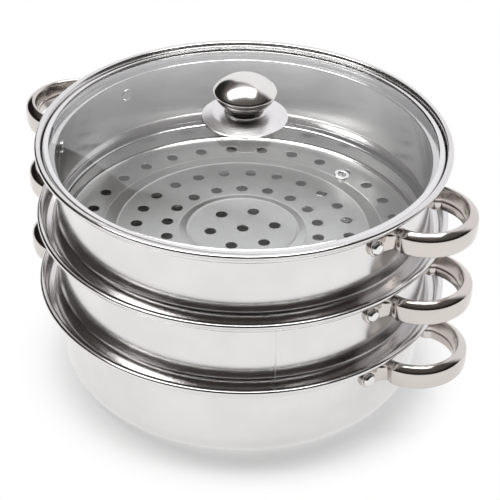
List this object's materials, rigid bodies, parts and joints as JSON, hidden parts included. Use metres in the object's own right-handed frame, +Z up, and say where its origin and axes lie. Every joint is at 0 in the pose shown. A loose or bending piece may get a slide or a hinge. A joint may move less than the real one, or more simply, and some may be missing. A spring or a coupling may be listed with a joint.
{
  "type": "steamer pot",
  "caption": "Stainless stacked steamer: a round-cornered pot, perforated steamer tiers nested in its rim, loop handles and a domed glass lid with a knob.",
  "frame": {"origin": "centre of the pot's flat base, which stands on z = 0", "axes": "+Z up along the pot's axis; the loop handles lie along X; Y is square to both"},
  "size_m": [0.351, 0.29, 0.2328],
  "materials": {
    "satin_steel": "satin stainless sheet with faint upright brushing",
    "handle_steel": "polished stainless",
    "rivet_steel": "plain steel",
    "clear_glass": "clear toughened glass",
    "band_steel": "rolled stainless strip",
    "knob_steel": "polished stainless",
    "knob_neck_steel": "dark steel",
    "silicone": "translucent silicone"
  },
  "bodies": {
    "pot": {"pot_body": "satin_steel", "pot_handles": "handle_steel", "pot_rivets": "rivet_steel"},
    "lower_steamer": {"lower_steamer_wall": "satin_steel", "lower_steamer_floor": "satin_steel", "lower_steamer_handles": "handle_steel", "lower_steamer_rivets": "rivet_steel"},
    "upper_steamer": {"upper_steamer_wall": "satin_steel", "upper_steamer_floor": "satin_steel", "upper_steamer_handles": "handle_steel", "upper_steamer_rivets": "rivet_steel"},
    "lid": {"lid_glass": "clear_glass", "lid_band": "band_steel", "vent_grommet": "band_steel", "knob_flange": "knob_steel", "knob_neck": "knob_neck_steel", "knob_skirt": "knob_steel", "knob_cap": "knob_steel", "knob_screw": "rivet_steel", "knob_washer": "rivet_steel", "knob_gasket": "silicone"}
  },
  "joints": [
    {"name": "lower_steamer_lift", "type": "slide", "parent": "pot", "child": "lower_steamer", "axis": [0, 0, 1], "range_m": [0, 0.12]},
    {"name": "upper_steamer_lift", "type": "slide", "parent": "lower_steamer", "child": "upper_steamer", "axis": [0, 0, 1], "range_m": [0, 0.12]},
    {"name": "lid_lift", "type": "slide", "parent": "upper_steamer", "child": "lid", "axis": [0, 0, 1], "range_m": [0, 0.12]}
  ]
}
